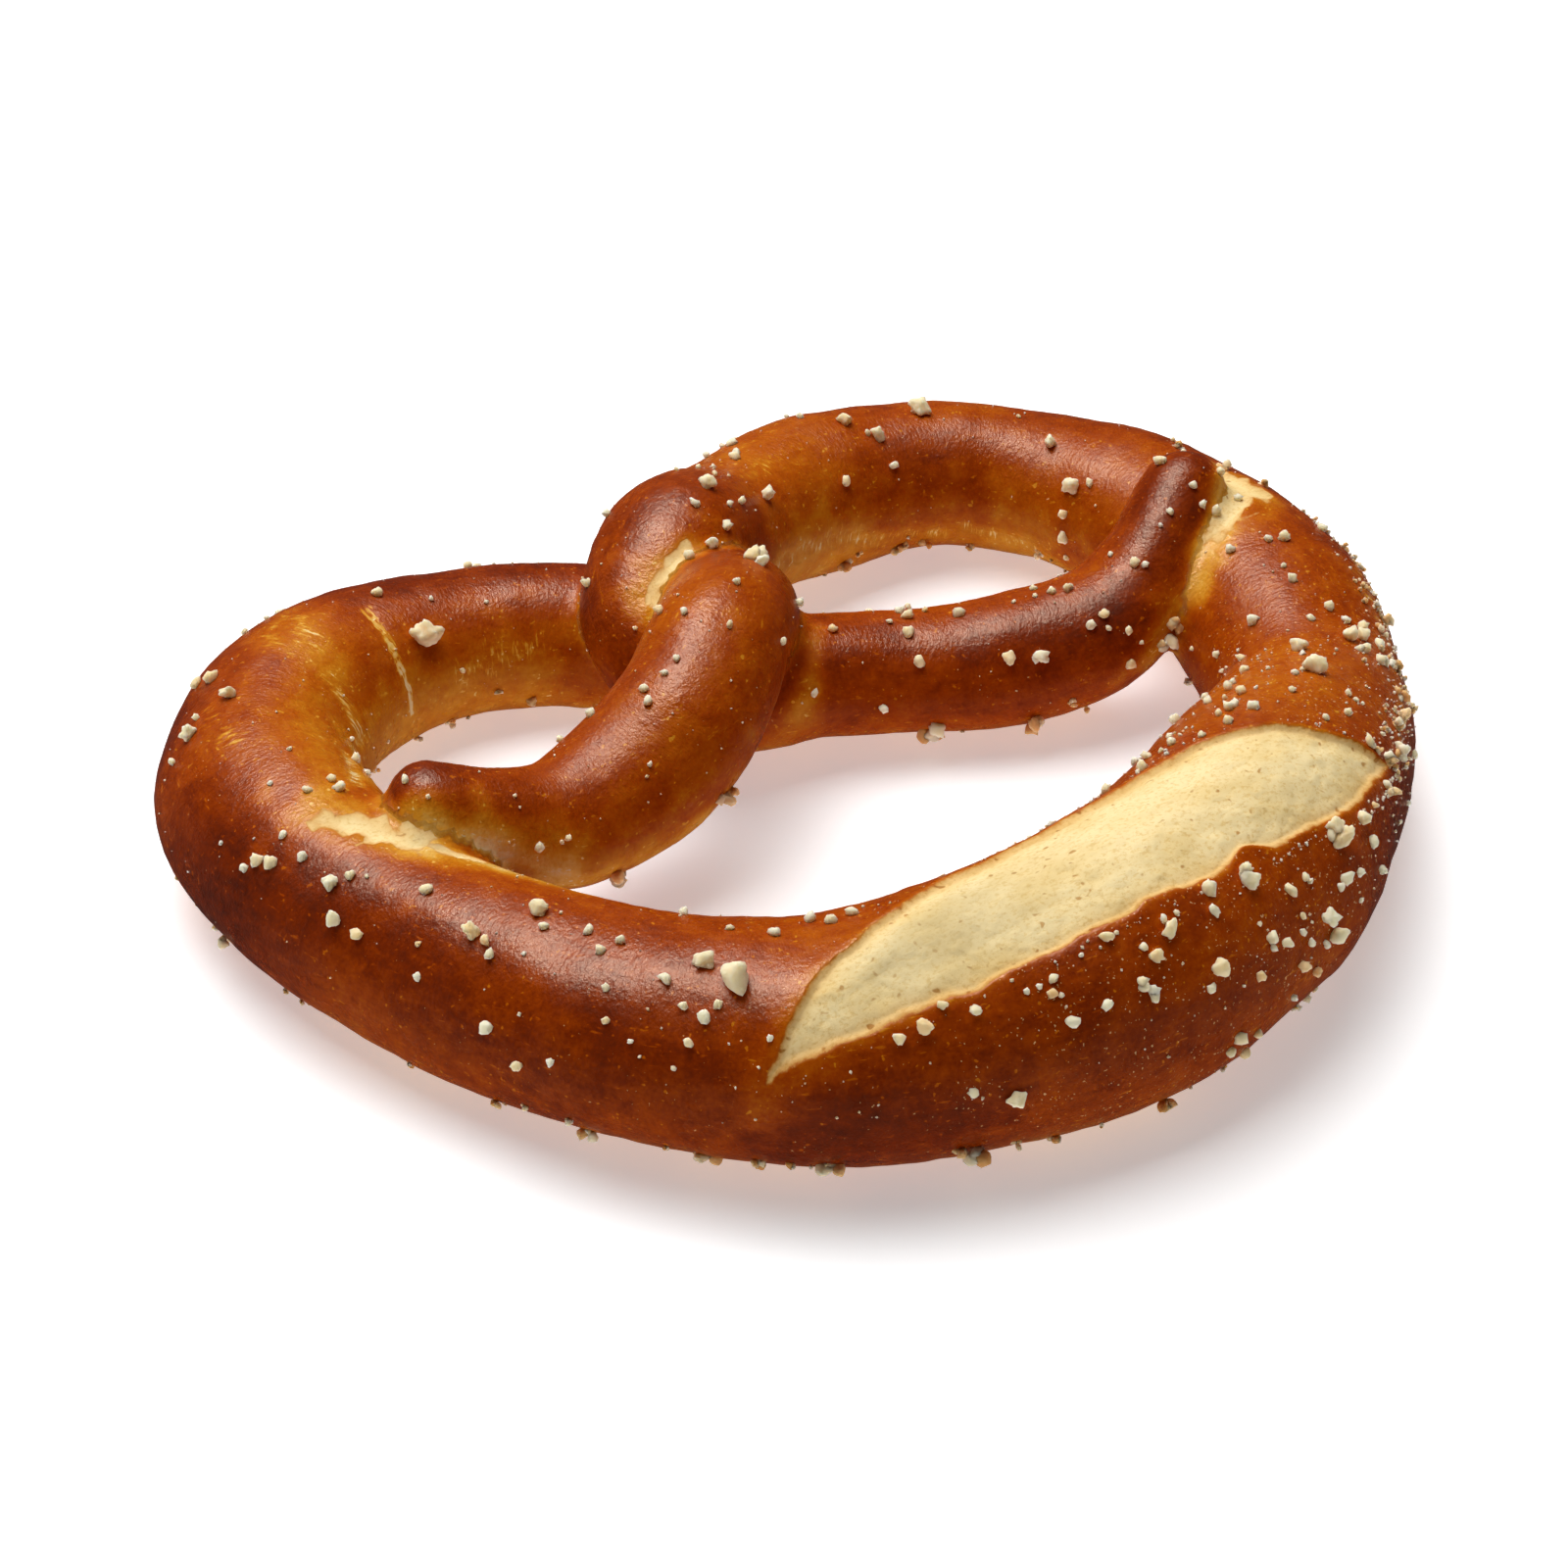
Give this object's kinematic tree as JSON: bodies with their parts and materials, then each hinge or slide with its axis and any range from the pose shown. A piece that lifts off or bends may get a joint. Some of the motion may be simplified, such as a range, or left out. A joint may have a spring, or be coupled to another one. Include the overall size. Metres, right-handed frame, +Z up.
{
  "type": "soft pretzel",
  "caption": "Soft lye pretzel: one dough rope shaped as a looped heart with its ends hooked round each other and pressed onto the ring, slit across the belly and salted.",
  "frame": {"origin": "on the surface the pretzel rests on, under the middle of its box", "axes": "+X to the right as seen from the belly, +Y from the slit belly to the twist at the back, +Z up"},
  "size_m": [0.1573, 0.1336, 0.0315],
  "materials": {
    "crust": "satin",
    "salt": "matte"
  },
  "bodies": {
    "root": {"pretzel": "crust"}
  },
  "joints": []
}
